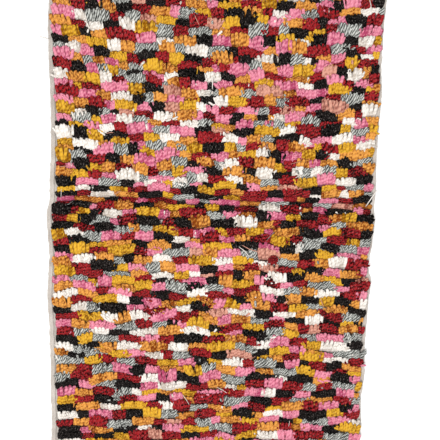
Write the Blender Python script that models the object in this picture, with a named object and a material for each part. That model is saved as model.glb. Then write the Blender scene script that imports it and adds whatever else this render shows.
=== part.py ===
"""A hand-knotted pile rug of 0.8 by 1.5 m, lying flat, with the soft crease left by storing it folded.

Units are metres and +Z is up. X runs across the rug, along its rows of knots. Y runs along it, the way
that the pile leans. The origin is on the surface that the rug lies on, under its middle.
"""

import math
import random

import bmesh
import bpy
from mathutils import Vector, noise

# The whole rug
RUG_WIDTH = 0.800
RUG_LENGTH = 1.500
END_WAVE = 0.002  # how far an end edge is drawn in between its furthest points
END_WAVES = 3

# Ground weave
GROUND_THICK = 0.003
END_WEB = 0.024
FIELD_COLUMNS = 4
CLEARANCE = 0.0003  # between the ground and the pile's underside
LEVEL = 1e-7  # the underside's points this close to a height lie at it

# Selvedge section, from the outer edge inwards: distance in, underside, top
SELVEDGE_SECTION = (
    (0.000, 0.0016, 0.0034),
    (0.002, 0.0003, 0.0047),
    (0.005, 0.0000, 0.0050),
    (0.009, 0.0000, 0.0046),
    (0.012, 0.0000, GROUND_THICK),
)

# Side edges, from the far end to the near end: place along the rug, left edge drawn in, right edge drawn in
SIDE_EDGES = (
    (0.75, 0.0070, 0.0050),
    (0.62, 0.0090, 0.0030),
    (0.54, 0.0100, 0.0030),
    (0.45, 0.0060, 0.0060),
    (0.38, 0.0070, 0.0060),
    (0.30, 0.0100, 0.0010),
    (0.23, 0.0115, 0.0040),
    (0.13, 0.0110, 0.0050),
    (0.05, 0.0085, 0.0040),
    (0.00, 0.0015, 0.0020),
    (-0.05, 0.0030, 0.0040),
    (-0.10, 0.0050, 0.0090),
    (-0.15, 0.0025, 0.0000),
    (-0.20, 0.0000, 0.0040),
    (-0.30, 0.0045, 0.0060),
    (-0.38, 0.0070, 0.0030),
    (-0.45, 0.0065, 0.0080),
    (-0.52, 0.0090, 0.0040),
    (-0.62, 0.0060, 0.0060),
    (-0.75, 0.0080, 0.0040),
)

# How the rows bend: place along the rug, sag at mid-width, rise of the right end over the left
ROW_BENDS = (
    (0.75, 0.000, 0.000),
    (0.62, 0.003, 0.000),
    (0.50, 0.012, 0.000),
    (0.40, 0.022, 0.000),
    (0.30, 0.018, 0.004),
    (0.20, 0.010, 0.008),
    (0.12, 0.010, 0.002),
    (0.04, 0.001, 0.000),
    (-0.10, 0.000, 0.000),
    (-0.22, -0.008, -0.006),
    (-0.32, -0.008, 0.000),
    (-0.42, -0.003, 0.012),
    (-0.52, 0.000, 0.020),
    (-0.64, 0.000, 0.006),
    (-0.75, 0.000, 0.000),
)
ROW_WAVER = 0.0022  # the weaver's hand, on top of the bends
ROW_WAVER_LENGTH = 0.11

# Crease: a valley that touches the floor, between two low humps
CREASE_AT = 0.042
CREASE_ROUND = 0.004
HUMP_HEIGHT = 0.008
HUMP_FROM_CREASE = 0.042
HUMP_END = 0.135
CREASE_SQUEEZE = 0.20  # rows are this much closer in the crease
CREASE_SQUEEZE_REACH = 0.030
HUMP_STEPS = 16  # of the ground weave, on each side of the crease
HUMP_CLOSING = 1.5  # how much closer the steps are at the crease
LEAST_STEP = 0.0005

# Pile
ROWS = 77
PILE_COLUMNS = 20
STAGGER = 0.28  # of a column, so that the runs of colour don't line up
PILE_INSET = 0.0145  # from the side edge to the first knot
RIDGE_HEIGHT = 0.0140  # above the ground weave
VALLEY_HEIGHT = 0.0085
RIDGE_PHASE = 0.62  # of a row's pitch, as the tips lean over the next row
LUMP = 0.0018
SWELL = 0.0012
SWELL_LENGTH = 0.16
SHOULDER = 0.75  # of the full height, at the rim
SEED = 11

# Locks at the rim, one at each end of a row and a few in each column across the rug's ends
LOCK_TAPER = 0.45
LOCK_LEAN = 0.004  # along the rug, on a side's locks
LOCK_SPREAD = 0.3  # how far a lock's reach and lean depart from the others'
LOCK_CUTS = 2  # cuts in each column's rim at the rug's ends, so three locks a column
FACES_OUT = 0.7  # the least part of a rim face's normal that points out of the rug's end
LOCK_REACH = {"left": 0.0045, "right": 0.0085, "near": 0.0035, "far": 0.0120}
LOCK_RISE = 0.0018

# Yarns: colour in sRGB, share of the pile
PILE_YARNS = {
    "mustard wool": ("d9a52c", 0.15),
    "ochre wool": ("df963c", 0.12),
    "pink wool": ("e8789c", 0.17),
    "crimson wool": ("9c1c2c", 0.13),
    "black wool": ("1d1b1c", 0.14),
    "ivory wool": ("efe6dc", 0.11),
    "marled grey wool": ("98a09c", 0.12),
    "dusty pink wool": ("cf9488", 0.06),
}
GROUND_YARN = ("undyed wool", "d9d2c8")
WOOL_ROUGHNESS = 0.95


def clear_scene():
    for item in list(bpy.data.objects):
        bpy.data.objects.remove(item, do_unlink=True)


def linear(code):
    """A linear colour from an sRGB hex value."""
    parts = [int(code[i : i + 2], 16) / 255 for i in (0, 2, 4)]
    return [c / 12.92 if c <= 0.04045 else ((c + 0.055) / 1.055) ** 2.4 for c in parts] + [1.0]


def wool(name, code):
    made = bpy.data.materials.new(name)
    made.use_nodes = True
    made.diffuse_color = linear(code)
    shader = made.node_tree.nodes["Principled BSDF"]
    shader.inputs["Base Color"].default_value = linear(code)
    shader.inputs["Roughness"].default_value = WOOL_ROUGHNESS
    shader.inputs["Metallic"].default_value = 0.0
    return made


def read_table(table, place, column):
    """A column's value at a place, eased from row to row. Rows run from high places to low ones."""
    if place >= table[0][0]:
        return table[0][column]
    for above, below in zip(table, table[1:]):
        if place >= below[0]:
            part = (above[0] - place) / (above[0] - below[0])
            ease = 0.5 - 0.5 * math.cos(math.pi * part)
            return above[column] + (below[column] - above[column]) * ease
    return table[-1][column]


def side_edges(y):
    """The left and the right edge of the rug at this place along it."""
    half = RUG_WIDTH / 2
    return read_table(SIDE_EDGES, y, 1) - half, half - read_table(SIDE_EDGES, y, 2)


def end_draw(across):
    """How far an end edge is drawn in, at a share of the width."""
    return END_WAVE * (0.5 - 0.5 * math.cos(2 * math.pi * END_WAVES * (across - 0.5)))


def lift(y):
    """How high the underside stands off the floor."""
    away = abs(y - CREASE_AT)
    if away >= HUMP_END:
        return 0.0
    if away >= HUMP_FROM_CREASE:
        part = (away - HUMP_FROM_CREASE) / (HUMP_END - HUMP_FROM_CREASE)
        return HUMP_HEIGHT * (0.5 + 0.5 * math.cos(math.pi * part))
    rounded = math.hypot(away, CREASE_ROUND) - CREASE_ROUND
    part = rounded / (math.hypot(HUMP_FROM_CREASE, CREASE_ROUND) - CREASE_ROUND)
    return HUMP_HEIGHT * part * (2 - part)


def row_lines():
    """Where each row of knots starts along the rug, and where the last one ends."""
    pile_length = RUG_LENGTH - 2 * END_WEB
    even = pile_length / ROWS
    lines = [-pile_length / 2]
    for _ in range(ROWS):
        near = (lines[-1] - CREASE_AT) / CREASE_SQUEEZE_REACH
        lines.append(lines[-1] + even * (1 - CREASE_SQUEEZE * math.exp(-near * near)))
    stretch = pile_length / (lines[-1] - lines[0])
    return [(line - lines[0]) * stretch - pile_length / 2 for line in lines]


def bent(y, x, across):
    """Where a straight row's point comes to lie along the rug."""
    sag = read_table(ROW_BENDS, y, 1) * (1 - (2 * across - 1) ** 2)
    rise = read_table(ROW_BENDS, y, 2) * (across - 0.5)
    ends = min(1.0, (RUG_LENGTH / 2 - END_WEB - abs(y)) / ROW_WAVER_LENGTH)
    crease = min(1.0, abs(y - CREASE_AT) / ROW_WAVER_LENGTH)
    waver = noise.noise(Vector((x, y, 0.0)) / ROW_WAVER_LENGTH) * ROW_WAVER * ends * crease
    return y - sag + rise + waver


def closed_sheet(columns, stations, place):
    """A closed body from two grids joined round their rim. place(column, station, top) puts each point."""
    bm = bmesh.new()
    bmesh.ops.create_grid(bm, x_segments=columns, y_segments=stations, size=0.5)
    column = bm.verts.layers.int.new("column")
    station = bm.verts.layers.int.new("station")
    for vert in bm.verts:
        vert[column] = round((vert.co.x + 0.5) * columns)
        vert[station] = round((vert.co.y + 0.5) * stations)
    raised = bmesh.ops.extrude_face_region(bm, geom=bm.faces[:])
    top = {item for item in raised["geom"] if isinstance(item, bmesh.types.BMVert)}
    for vert in bm.verts:
        vert.co = place(vert[column], vert[station], vert in top)
    bmesh.ops.recalc_face_normals(bm, faces=bm.faces[:])
    return bm


def merge_flat_underside(bm, height):
    """Makes one face of each stretch of the underside that lies level at this height."""
    level = [
        face
        for face in bm.faces
        if face.normal.z < 0 and all(abs(vert.co.z - height) < LEVEL for vert in face.verts)
    ]
    bmesh.ops.dissolve_faces(bm, faces=level)


def finish(bm, name, materials):
    mesh = bpy.data.meshes.new(name)
    bm.to_mesh(mesh)
    bm.free()
    for item in materials:
        mesh.materials.append(item)
    made = bpy.data.objects.new(name, mesh)
    collection.objects.link(made)
    return made


def ground_stations():
    """Places along the ground weave: its ends, each bend of its edges, and close steps over the crease."""
    places = {row[0] for row in SIDE_EDGES}
    for step in range(HUMP_STEPS + 1):
        away = HUMP_END * (step / HUMP_STEPS) ** HUMP_CLOSING
        places.update((CREASE_AT - away, CREASE_AT + away))
    ordered = sorted(places)
    kept = [y for y, after in zip(ordered, ordered[1:]) if after - y > LEAST_STEP]
    return kept + ordered[-1:]


def make_ground_weave():
    stations = ground_stations()
    edge = len(SELVEDGE_SECTION) - 1
    columns = 2 * edge + FIELD_COLUMNS

    def place(column, station, top):
        y = stations[station]
        left, right = side_edges(y)
        row = SELVEDGE_SECTION[min(column, columns - column, edge)]
        inner = SELVEDGE_SECTION[-1][0]
        if column <= edge:
            x = left + row[0]
        elif column >= columns - edge:
            x = right - row[0]
        else:
            part = (column - edge) / FIELD_COLUMNS
            x = left + inner + (right - left - 2 * inner) * part
        z = lift(y) + row[2 if top else 1]
        if abs(y) == RUG_LENGTH / 2:
            y -= math.copysign(end_draw((x - left) / (right - left)), y)
        return x, y, z

    bm = closed_sheet(columns, len(stations) - 1, place)
    merge_flat_underside(bm, 0.0)
    return finish(bm, "ground_weave", [wool(*GROUND_YARN)])


def yarn_runs(rng):
    """The yarn of each column of a row: random runs of colour, with no run like the one before it."""
    shares = [share for _, share in PILE_YARNS.values()]
    runs = []
    for _ in range(PILE_COLUMNS):
        pick = rng.choices(range(len(shares)), shares)[0]
        while runs and pick == runs[-1]:
            pick = rng.choices(range(len(shares)), shares)[0]
        runs.append(pick)
    return runs


def colour_rows(bm, rng):
    """Gives the pile's upper faces their yarns, a row and a column at a time."""
    column = bm.verts.layers.int["column"]
    station = bm.verts.layers.int["station"]
    rows = [yarn_runs(rng) for _ in range(ROWS)]
    for face in bm.faces:
        at = min(vert[column] for vert in face.verts)
        row = min(vert[station] for vert in face.verts) // 2
        face.material_index = rows[min(row, ROWS - 1)][min(at, PILE_COLUMNS - 1)]


def pull_locks(bm, faces, out, reach, rng):
    """Draws each face of the rim out into a tapered lock that leans the way of the pile."""
    locks = bmesh.ops.extrude_discrete_faces(bm, faces=faces)["faces"]
    for lock in sorted(locks, key=lambda face: tuple(face.calc_center_median())):
        middle = lock.calc_center_median()
        length = reach * rng.uniform(1 - LOCK_SPREAD, 1 + LOCK_SPREAD)
        lean = LOCK_LEAN * rng.uniform(1 - LOCK_SPREAD, 1 + LOCK_SPREAD)
        tip = middle + out * length + Vector((0.0, lean * abs(out.x), LOCK_RISE))
        for vert in lock.verts:
            vert.co = tip + (vert.co - middle) * LOCK_TAPER


def make_pile():
    rng = random.Random(SEED)
    lines = row_lines()
    base = GROUND_THICK + CLEARANCE
    last = 2 * ROWS
    points = [(station, column) for station in range(last + 1) for column in range(PILE_COLUMNS + 1)]
    lumps = {point: rng.uniform(-LUMP, LUMP) for point in points}
    shifts = {point: rng.uniform(-STAGGER, STAGGER) for point in points}

    def place(column, station, top):
        row = min(station // 2, ROWS - 1)
        phase = 1.0 if station == last else RIDGE_PHASE * (station % 2)
        y = lines[row] + (lines[row + 1] - lines[row]) * phase
        rim = column in (0, PILE_COLUMNS)
        across = (column + (0.0 if rim else shifts[station, column])) / PILE_COLUMNS
        left, right = side_edges(y)
        x = left + PILE_INSET + (right - left - 2 * PILE_INSET) * across
        y = bent(y, x, across)
        z = lift(y) + base
        if top:
            height = RIDGE_HEIGHT if station % 2 else VALLEY_HEIGHT
            height *= SHOULDER if rim or station in (0, last) else 1.0
            swell = SWELL * noise.noise(Vector((x, y, 1.0)) / SWELL_LENGTH)
            z += height + lumps[station, column] + swell
        return x, y, z

    bm = closed_sheet(PILE_COLUMNS, last, place)
    colour_rows(bm, rng)
    merge_flat_underside(bm, base)
    make_locks(bm, rng)
    yarns = [wool(name, code) for name, (code, _) in PILE_YARNS.items()]
    return finish(bm, "pile", yarns)


def make_locks(bm, rng):
    column = bm.verts.layers.int["column"]
    station = bm.verts.layers.int["station"]
    last = 2 * ROWS
    pile_end = RUG_LENGTH / 2 - END_WEB - END_WAVE
    for name, at, out in (("left", 0, -1), ("right", PILE_COLUMNS, 1)):
        walls = [face for face in bm.faces if all(vert[column] == at for vert in face.verts)]
        ridges = [face for face in walls if min(vert[station] for vert in face.verts) % 2 == 0]
        pull_locks(bm, ridges, Vector((out, 0.0, 0.0)), LOCK_REACH[name], rng)
    for name, at, out in (("near", 0, -1), ("far", last, 1)):
        walls = [face for face in bm.faces if all(vert[station] == at for vert in face.verts)]
        rims = dict.fromkeys(
            edge
            for face in walls
            for edge in face.edges
            if edge.verts[0][column] != edge.verts[1][column]
        )
        bmesh.ops.subdivide_edges(bm, edges=list(rims), cuts=LOCK_CUTS)
        bm.normal_update()
        ends = [
            face
            for face in bm.faces
            if face.normal.y * out > FACES_OUT and face.calc_center_median().y * out > pile_end
        ]
        pull_locks(bm, ends, Vector((0.0, out, 0.0)), LOCK_REACH[name], rng)


clear_scene()
collection = bpy.data.collections.new("moroccan rug")
bpy.context.scene.collection.children.link(collection)
make_ground_weave()
make_pile()
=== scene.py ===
"""The looks of a hand-knotted pile rug: every yarn end, the woven ground, its selvedges and webs.

Units are metres and +Z is up. X runs across the rug, along its rows of knots. Y runs along it, the way
that the pile leans. The rug lies on the floor at z = 0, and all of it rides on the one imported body.
"""

import collections
import itertools
import random
from math import atan, copysign, cos, exp, hypot, pi, radians, sin, sqrt, tau

import bpy
import numpy as np
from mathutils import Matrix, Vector, noise


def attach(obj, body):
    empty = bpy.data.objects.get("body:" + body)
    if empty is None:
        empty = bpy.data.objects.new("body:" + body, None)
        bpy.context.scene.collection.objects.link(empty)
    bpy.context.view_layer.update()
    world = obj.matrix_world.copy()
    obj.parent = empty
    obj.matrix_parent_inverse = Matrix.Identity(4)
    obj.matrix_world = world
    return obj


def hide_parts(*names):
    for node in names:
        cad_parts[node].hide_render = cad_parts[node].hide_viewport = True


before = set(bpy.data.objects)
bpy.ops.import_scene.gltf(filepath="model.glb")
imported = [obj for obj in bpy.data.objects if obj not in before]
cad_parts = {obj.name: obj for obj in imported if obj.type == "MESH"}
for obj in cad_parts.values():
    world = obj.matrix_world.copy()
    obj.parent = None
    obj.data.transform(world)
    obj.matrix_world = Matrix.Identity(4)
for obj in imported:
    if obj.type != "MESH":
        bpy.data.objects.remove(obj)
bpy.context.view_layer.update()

# The rug's sizes, edges, bends and humps, the same as its solids have
RUG_WIDTH = 0.800
RUG_LENGTH = 1.500
END_WAVE = 0.002  # how far an end edge is drawn in between its furthest points
END_WAVES = 3
GROUND_THICK = 0.003
END_WEB = 0.024

# Side edges, from the far end to the near end: place along the rug, left edge drawn in, right edge drawn in
SIDE_EDGES = (
    (0.75, 0.0070, 0.0050),
    (0.62, 0.0090, 0.0030),
    (0.54, 0.0100, 0.0030),
    (0.45, 0.0060, 0.0060),
    (0.38, 0.0070, 0.0060),
    (0.30, 0.0100, 0.0010),
    (0.23, 0.0115, 0.0040),
    (0.13, 0.0110, 0.0050),
    (0.05, 0.0085, 0.0040),
    (0.00, 0.0015, 0.0020),
    (-0.05, 0.0030, 0.0040),
    (-0.10, 0.0050, 0.0090),
    (-0.15, 0.0025, 0.0000),
    (-0.20, 0.0000, 0.0040),
    (-0.30, 0.0045, 0.0060),
    (-0.38, 0.0070, 0.0030),
    (-0.45, 0.0065, 0.0080),
    (-0.52, 0.0090, 0.0040),
    (-0.62, 0.0060, 0.0060),
    (-0.75, 0.0080, 0.0040),
)

# How the rows bend: place along the rug, sag at mid-width, rise of the right end over the left
ROW_BENDS = (
    (0.75, 0.000, 0.000),
    (0.62, 0.003, 0.000),
    (0.50, 0.012, 0.000),
    (0.40, 0.022, 0.000),
    (0.30, 0.018, 0.004),
    (0.20, 0.010, 0.008),
    (0.12, 0.010, 0.002),
    (0.04, 0.001, 0.000),
    (-0.10, 0.000, 0.000),
    (-0.22, -0.008, -0.006),
    (-0.32, -0.008, 0.000),
    (-0.42, -0.003, 0.012),
    (-0.52, 0.000, 0.020),
    (-0.64, 0.000, 0.006),
    (-0.75, 0.000, 0.000),
)
ROW_WAVER = 0.0022  # the weaver's hand, on top of the bends
ROW_WAVER_LENGTH = 0.11

# Crease: a valley that touches the floor, between two low humps
CREASE_AT = 0.042
CREASE_ROUND = 0.004
HUMP_HEIGHT = 0.008
HUMP_FROM_CREASE = 0.042
HUMP_END = 0.135
SLOPE_REACH = 0.004  # each way along the rug, to find how steep the ground is

# Rows of knots: as many as the solids have ridges, but closer in the crease and at the near end
ROWS = 77
ROW_DRIFT = 0.05  # how much further apart rows are at the far end, and closer at the near end
CREASE_SQUEEZE = 0.34  # how much closer they are in the crease
CREASE_SQUEEZE_REACH = 0.030

# The far part is combed smooth, and the near part is rubbed rough
NEARNESS_LENGTH = 0.5  # of the rug, in which all that is far turns into all that is near
COMBED_FROM = (0.25, 0.08)  # smooth pile starts left of this place and beyond it
COMBED_OVER = (0.45, 0.25)  # and is smoothest this much further on
SWEPT_LEFT = radians(-9)  # the heading of the pile in the far left part
SWEPT_FROM = (0.12, 0.05)
SWEPT_OVER = (0.40, 0.30)
SWEEP_WAVER = 0.22  # how far the heading wavers, in radians
SWEEP_WAVER_LENGTH = 0.13

# One patch is trodden more than the rest, so that its ends stand and part
TRODDEN_AT = (-0.060, -0.205)
TRODDEN_REACH = (0.150, 0.085)
TRODDEN_ROUGH = 0.6
TRODDEN_STAND = 0.35  # how much higher ends' tips point there, in radians
TRODDEN_UNEVEN = (0.2, 1.2)

# Use has pushed the pile to and fro along the rug, but less where it is combed or pressed into the crease
PUSH = 0.014
PUSH_LENGTH = 0.050
PUSH_IN_CREASE = 0.4
PUSH_LESS_COMBED = 0.4

# The pile that leans into the crease is turned aside by the fold, and painted darker there as shade
FOLD_AT = -0.010
FOLD_REACH = 0.050
FOLD_TURN = (0.2, 0.7)  # in radians
FOLD_PAINTED_SHADE = 2.2  # in rows of the map of a yarn's levels

# At the bottom of the crease it is pressed down, turned further, and painted darker still as shade
CREASE_REACH = 0.020
CREASE_TURN = (0.5, 1.2)
CREASE_PAINTED_SHADE = 2.0
CREASE_SHORTER = 0.38  # how much of the pile's length is pressed in there
CREASE_AHEAD = 0.006  # it presses the pile of rows that start so far before it
DARK_YARNS = ("crimson", "black")  # the weaver's choice by the crease happens to be dark
DARK_SHARE = 2.4  # how much more often such a yarn comes there

# Knots: each is one piece of yarn round two warps, with both of its ends in the pile
SEED = 23
KNOT_PITCH = 0.00985
KNOT_SWAY = 0.10  # of the pitch, to either side
FIRST_KNOT = {"left": 0.0200, "right": 0.0132}  # from the side edge
FIRST_KNOT_WAVER = 0.0058
FIRST_KNOT_WAVER_LENGTH = 0.030
ROOT_SPREAD = 0.0006  # along the rug
KNOT_HEADING = 0.14
KNOT_UNEVEN = (0.88, 1.10)  # in length
KNOT_LEVEL = 1.4  # how far its level strays from its run's
END_LEVEL = 1.3  # and an end's from its knot's

# Runs of one yarn, in knots: their share of the runs at the far end of the rug, and at the near end
RUN_SHARES = {
    2: (0.12, 0.02),
    3: (0.32, 0.13),
    4: (0.34, 0.28),
    5: (0.16, 0.28),
    6: (0.05, 0.18),
    7: (0.01, 0.11),
}
SAME_AS_BELOW = 0.03  # how seldom a run takes a yarn that the row before has there, to its share

# How rough a run is: 0 where its ends lie side by side, and 1 where they are rubbed apart
RUN_ROUGH = (0.5, 0.3)  # middle and spread
ROUGH_LESS_COMBED = 0.35
ROUGHEST = 1.3

# How a run lies, as a whole
RUN_TURN = {"combed": 0.07, "rubbed": 0.62}  # how far runs turn from each other
RUN_TAPER = (0.06, 0.44)  # how much shorter its outer knots are than its middle ones
RUN_CURL = 0.2
RUN_CURL_ROUGH = 0.5
RUN_LENGTH = (0.82, 1.20)  # to the usual length
FAR_LENGTH = 0.16  # how much more runs differ in length at the far end
FAR_LENGTH_SPREAD = (-0.6, 1)
RUN_DROOP = 0.11  # how far runs differ in how high they point, in radians
LONG_RUN = 1.08  # a run longer than this
LONG_RUN_DROOP = 0.9  # points this much lower, in radians for each usual length
RUN_SHIFT = 0.0036  # how far runs stray along the rug
FAR_SHIFT = 0.0004
RUN_LEVEL = (2.6, 6.1)
PILLOW = 0.42  # how much lower the outer knots of a run point than its middle ones
PILLOW_MIDDLE = 0.4

# Fine plies: a knot's two ends open into three that lie side by side in a ridge, its middle the highest
PLIES = (-0.9, 0.0, 0.9)  # their places across the ridge
PLY_AWAY = 0.6  # from its middle, on average
PLY_RADIUS = 0.0030
PLY_GIRTHS = (0.9, 1.1)
FEWER_PLIES = 0.25  # how often one ply of a knot is worn away
RIDGE_HALF = 0.0032  # at the roots
GATHER = 12.0  # how much a ply turns in towards its ridge, in radians for each metre between them
GATHER_UNEVEN = (0.4, 1.5)
GATHER_LESS_ROUGH = 0.8
CROWN = 0.26  # how much higher the middle plies point than the outer ones
END_LENGTH = 0.0290
LONGEST_END = 0.0340
END_REACH = (0.7, 1.5)  # least and most, where rows are closer or further apart
END_UNEVEN = (0.80, 1.18)
ROUGH_SHORTER = 0.08
RISE = radians(70)  # over the ground, at the root
DROOP = radians(-10)  # at the tip, which points down
PLY_ROOT_SPREAD = 0.0007
PLY_HEADING = 0.08
PLY_CURL = 0.12
PLY_RISE = 0.07
PLY_DROOP = 0.06
ROUGH_TURN = 0.34  # how far a rubbed run's plies turn from each other, in radians
ROUGH_CURL = 0.35
ROUGH_STAND = 0.16  # how much higher such a ply's tip points
RIM = 0.05  # so near the right edge, the pile turns out over it
RIM_TURN = 0.18
RIM_STEADIER = 0.6  # how much less of its run's turn it has there
CAUGHT_PLY = 0.010  # how often a ply is a bit of another yarn, caught in the knot
CAUGHT_YARNS = ("ivory", "ivory", "ivory", "pink", "mustard", "dusty_pink", "marled_grey")
KNOT_STEPS = 4  # columns of the map from a knot's first ply to the next knot's

# Thick low plies: one on each side of a knot makes the body of its tuft and droops onto the next row's
THICK_APART = 0.0024
THICK_RADIUS = 0.0047
THICK_GIRTHS = (0.95, 1.1)
THICK_LENGTH = 0.0250
THICK_UNEVEN = (0.92, 1.06)
THICK_REACH = (0.7, 2.0)  # least and most, where rows are closer or further apart
THICK_FOLLOWS = 0.6  # how much of its length goes with its run's
THICK_TAPER = 0.0085  # how much shorter it is at the sides of the most tapered run
THICK_OVER = 0.0038  # how far it reaches over the next row's
THICK_BACK = 0.0054  # how far behind its knot it starts
THICK_SPLAY = 0.08
THICK_TURN = 0.25  # its share of its run's turn
THICK_HEADING = 0.06
THICK_CURL = 0.2
THICK_RISE = radians(64)
THICK_DROOP = radians(-24)
LEAST_AHEAD = 0.6  # a turned one is longer, to reach as far, down to this cosine of its turn

# The shape of each ply
SIDES = 5
STEPS = 20  # along it, to find where it lies
RING_STEPS = (0, 9, 18)
RING_GIRTHS = (0.85, 1.08, 0.95)  # of the ply's radius
FLATNESS = 0.56  # its height over its width, as the pile is pressed
CURL_ABOUT = 0.3  # the share of its length at which its heading is its own

# Loose ends that lie on the pile: yarn, place, heading, curl, length, radius
LOOSE_ENDS = (
    ("ivory", 0.3706, 0.044, radians(29), 0.12, 0.050, 0.0014),
    ("ivory", 0.070, -0.062, radians(128), 0.60, 0.040, 0.0010),
    ("dusty_pink", 0.078, -0.058, radians(116), -0.40, 0.044, 0.0010),
    ("ivory", -0.004, 0.310, radians(0), 0.10, 0.029, 0.0012),
    ("mustard", -0.041, 0.343, radians(6), 0.20, 0.018, 0.0010),
    ("ivory", -0.386, 0.414, radians(-78), 0.20, 0.024, 0.0013),
)
LOOSE_HEIGHT = 0.0235  # over the ground
LOOSE_RISE = 0.10
LOOSE_DROOP = -0.15
LOOSE_CELL = (3, 7)  # on the map

# Fine strands that have come loose here and there
STRANDS = 40
STRAND_YARNS = ("ivory", "ivory", "dusty_pink", "marled_grey")
STRAND_ACROSS = 0.36  # how far from the rug's middle they lie
STRAND_ALONG = 0.68
STRAND_HEADING = 2.2
STRAND_CURL = 0.6
STRAND_LENGTH = (0.014, 0.034)
STRAND_RADIUS = (0.0006, 0.0009)
STRAND_RISE = 0.15

# One knot stands straight up and has opened like a brush, and the pile beside it is short
TUFT_YARN = "crimson"
TUFT_BESIDE = "marled_grey"  # instead of its own yarn
TUFT_AT = (0.1536, -0.0934)
TUFT_CLEAR = 0.030  # so far round it no knot has its yarn
TUFT_ROOM = 0.012
TUFT_PRESSES = 0.55  # the length of the pile within that room
TUFT_HEIGHT = 0.014
TUFT_ENDS = 30
TUFT_ROOT = 0.002
TUFT_LENGTH = 0.0145
TUFT_UNEVEN = (0.9, 1.1)
TUFT_CURL = 0.3
TUFT_AROUND = 0.382  # of a turn from each end to the next, which spreads them evenly
TUFT_AROUND_SPREAD = 0.15
TUFT_RISES = (88, 24)  # in degrees: the middle ends', and how much lower the outer ones'
TUFT_DROOPS = (80, 92)
TUFT_LEVEL = 3.5

# Knot backs: low domes on the underside, clear of the floor
BACK_SIDES = 6
BACK_HEIGHT = 0.0006
BACK_CLEAR = 0.00002
BACK_WIDE = 0.0044
BACK_LONG = 0.0026
BACK_MAP = (0.45, 0.60)  # its rim's place along an end's cell of the map, and its middle's

# Every end's pattern is one cell of a square map: a column is a chance of the dyer's, a row is how bright
CELLS = 8
CELL_MARGIN = 0.03

# How light wool is: 0 is a yarn's deep colour and 1 its light one
LEVEL_LIGHTER = 0.12  # for each row of the map
LOWEST_LEVEL = -0.15  # of the first row
# Painted shade: the first row is darker still, as shade on ends that lie deep in the pile
DEEPEST_PAINTED_SHADE = -0.22  # and that row darker still, for ends that lie deep
# Painted light and shade: an end is darker at its root, deep in the pile, and lighter towards its tip
TIP_PAINTED_LIGHTER = 0.45
DYE_CHANCE = 0.14
# Painted shade in the groove of a plain yarn's twist
TWIST_PAINTED_SHADE = 0.21  # for each measure of a yarn's fuzz
# Locks of fibres: tone that differs at random, with painted highlights and shade
FIBRE_TONE_AND_PAINTED_LIGHT = 1.5  # likewise
MARLED_CHANCE = 0.3
MARLED_EDGE = 0.3  # how softly a dark strand turns into a pale one
MARLED_SHADES = (-0.05, 0.62)

# Twist of a ply: a groove that winds round it, or dark strands between pale ones if it is marled
TWIST_PITCH = 0.0070  # from one to the next, along the ply
PLAIN_STRANDS = 1.0  # round it
MARLED_STRANDS = 4.0
PLY_STEP = -0.25  # of the pitch, from one ply to the next, so that their stripes run on
TWIST_RELIEF = 0.6
FIBRE_RELIEF = 1.6
FIBRE_WAVES = (7, 4, 0)  # round an end and along it: locks of fibres 2 or 3 mm wide, and finer in them
WOOL_RELIEF = 0.0006

# Lint of the paler yarns: crumbs of 1 or 2 mm, which cling to all of them and show on the dark ones.
# On those they are painted highlights as well
LINT_AND_HIGHLIGHT_COLOUR = "d8ccc4"
LINT_AND_HIGHLIGHT = 0.05  # how much a crumb hides, for each measure of a yarn's fuzz
LINT_AND_HIGHLIGHT_WAVES = (13, 8, 0)
LINT_AND_HIGHLIGHT_EDGE = (0.62, 0.74)

# Yarns: deep colour, light colour, bloom, fuzz (how strongly the fibres show), share of the pile.
# An end's colour lies between the deep and the light one, and holds painted light and shade as well as tone
YARNS = {
    "mustard": ("835000", "dba832", 0.05, 1.5, 0.132),
    "ochre": ("793502", "df9b48", 0.05, 1.6, 0.162),
    "pink": ("a63e60", "e38fa2", 0.05, 1.5, 0.176),
    "crimson": ("240000", "9b2227", 0.01, 2.8, 0.148),
    "black": ("000000", "1d1817", 0.01, 3.2, 0.142),
    "ivory": ("b8ac9f", "ede7df", 0.08, 1.2, 0.080),
    "marled_grey": ("1a1c1a", "d7d8d1", 0.05, 0.8, 0.100),
    "dusty_pink": ("84463c", "d49a86", 0.05, 1.4, 0.016),
}

# Yarns of a like colour, which the weaver seldom ties side by side
ALIKE = {"mustard": "gold", "ochre": "gold", "pink": "rose", "dusty_pink": "rose"}
ALIKE_BESIDE = 0.45

# Ground weave: undyed wool in a weft-faced weave
GROUND_COLOURS = ("9c9289", "dbd4cc")
WARP_APART = 0.005
WEFT_APART = 0.002
WEAVE_RELIEF = 0.5  # to that of the fibres
PATCH_SHADE = 0.6  # likewise
PATCH_WAVES = 28.0  # in a metre, for patches a few centimetres wide
GROUND_SHADES = (0.45, 1.15)  # of the deep colour and the light one
GROUND_RELIEF = 0.0005
GROUND_BLOOM = 0.1
GROUND_CLEAR = 0.0002  # under the solid's top
FIELD_INSET = 0.009  # from the side edges, under the selvedges
FIELD_END = 0.010  # from the rug's ends, under the webs
FIELD_STEP = 0.012
FIELD_HUMP_STEPS = 81
FIELD_COLUMNS = 17
FIELD_UNDERSIDE = 0.00045
WEB_INSET = 0.008
WEB_UNDER_PILE = 0.006
WEB_COLUMNS = 240
WEB_RIB = 0.00035
WEB_RIB_UNDER = 0.0003
WEB_UNDERSIDE = 0.00035
WEB_EDGE = 0.0015  # how far from its end it thins
WEB_EDGE_HEIGHT = 0.55  # of its thickness
WEB_EDGE_RISE = 0.0005

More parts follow.
